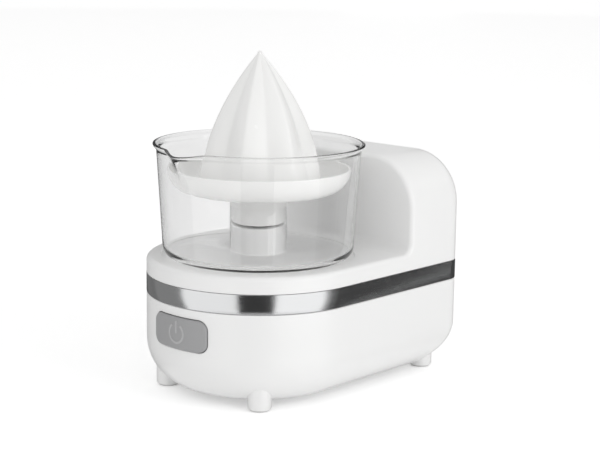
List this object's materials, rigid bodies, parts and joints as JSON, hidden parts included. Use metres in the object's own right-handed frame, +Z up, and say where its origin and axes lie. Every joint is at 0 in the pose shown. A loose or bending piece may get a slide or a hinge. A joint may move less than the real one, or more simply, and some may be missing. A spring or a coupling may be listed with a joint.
{
  "type": "citrus press juicer",
  "caption": "Electric citrus press: oblong base with motor column, steel band, front button, clear lipped bowl, strainer and fluted cone.",
  "frame": {"origin": "under the middle of the whole object's box, on the surface it stands on", "axes": "+Z up, -Y to the front where the button and the pouring lip are, +X to the right as seen by someone facing the back"},
  "size_m": [0.1552, 0.2186, 0.235],
  "materials": {
    "white_plastic": "satin white moulding",
    "strainer_plastic": "satin white moulding",
    "brushed_steel": "brushed along its length",
    "foot_rubber": "soft pale pad",
    "steel": "plain turned or pressed steel",
    "black_rubber": "matt",
    "black_plastic": "matt",
    "gear_plastic": "natural acetal",
    "bronze": "sintered bronze",
    "magnet": "dark ferrite",
    "core_iron": "stacked sheets",
    "copper": "enamelled copper",
    "button_plastic": "fine satin grey",
    "board": "coated laminate",
    "capacitor_case": "moulded case",
    "clear_plastic": "clear polished plastic"
  },
  "bodies": {
    "base": {"lower_housing": "white_plastic", "upper_housing": "white_plastic", "steel_band": "brushed_steel", "foot_pad_front_left": "foot_rubber", "foot_pad_front_right": "foot_rubber", "foot_pad_rear_left": "foot_rubber", "foot_pad_rear_right": "foot_rubber", "case_screw_front_left": "steel", "case_screw_front_right": "steel", "case_screw_rear_left": "steel", "case_screw_rear_right": "steel", "cord_gland": "black_rubber", "drive_plate": "steel", "gear_tray": "black_plastic", "gearbox_screw_front_left": "steel", "gearbox_screw_front_right": "steel", "gearbox_screw_rear_left": "steel", "gearbox_screw_rear_right": "steel", "idler_axle": "steel", "lower_bush": "bronze", "upper_bush": "bronze", "shaft_seal": "black_rubber", "motor_can": "steel", "motor_end_cap": "black_plastic", "motor_magnet_left": "magnet", "motor_magnet_right": "magnet", "motor_brush_left": "magnet", "motor_brush_right": "magnet", "motor_screw_left": "steel", "motor_screw_right": "steel", "bracket_screw_left": "steel", "bracket_screw_right": "steel", "switch_bracket": "black_plastic", "switch_body": "black_plastic", "control_board": "board", "terminal_block": "black_plastic", "suppression_capacitor": "capacitor_case"},
    "button": {"button_cap": "button_plastic", "switch_plunger": "black_plastic"},
    "rotor": {"motor_shaft": "steel", "armature_core": "core_iron", "armature_winding": "copper", "commutator": "copper", "cooling_fan": "black_plastic", "motor_pinion": "steel"},
    "idler": {"idler_gear": "gear_plastic"},
    "spindle": {"spindle_gear": "gear_plastic", "drive_spindle": "steel", "retaining_clip": "steel"},
    "bowl": {"juice_bowl": "clear_plastic"},
    "dish": {"strainer": "strainer_plastic"},
    "cone_bush": {"reamer_bush": "strainer_plastic"},
    "cone": {"reamer_cone": "strainer_plastic", "drive_socket": "steel"}
  },
  "joints": [
    {"name": "button_press", "type": "slide", "parent": "base", "child": "button", "axis": [0, 1, 0], "range_m": [0, 0.0025], "stiffness_N_per_m": 600},
    {"name": "motor_spin", "type": "hinge", "parent": "base", "child": "rotor", "pos_m": [0, 0.07475, 0.1], "axis": [0, 0, 1], "continuous": true},
    {"name": "idler_spin", "type": "hinge", "parent": "base", "child": "idler", "pos_m": [0, 0.0275, 0.055], "axis": [0, 0, 1], "continuous": true},
    {"name": "spindle_spin", "type": "hinge", "parent": "base", "child": "spindle", "pos_m": [0, -0.0285, 0.08], "axis": [0, 0, 1], "continuous": true},
    {"name": "bowl_lift", "type": "slide", "parent": "base", "child": "bowl", "axis": [0, 0, 1], "range_m": [0, 0.09]},
    {"name": "strainer_lift", "type": "slide", "parent": "bowl", "child": "dish", "axis": [0, 0, 1], "range_m": [0, 0.06]},
    {"name": "cone_lift", "type": "slide", "parent": "dish", "child": "cone_bush", "axis": [0, 0, 1], "range_m": [0, 0.06]},
    {"name": "cone_spin", "type": "hinge", "parent": "cone_bush", "child": "cone", "pos_m": [0, -0.0285, 0.16], "axis": [0, 0, 1], "continuous": true}
  ],
  "couplings": [
    {"joint": "idler_spin", "follows": "motor_spin", "ratio": -0.28571},
    {"joint": "spindle_spin", "follows": "motor_spin", "ratio": 0.065934},
    {"joint": "cone_spin", "follows": "motor_spin", "ratio": 0.065934}
  ]
}
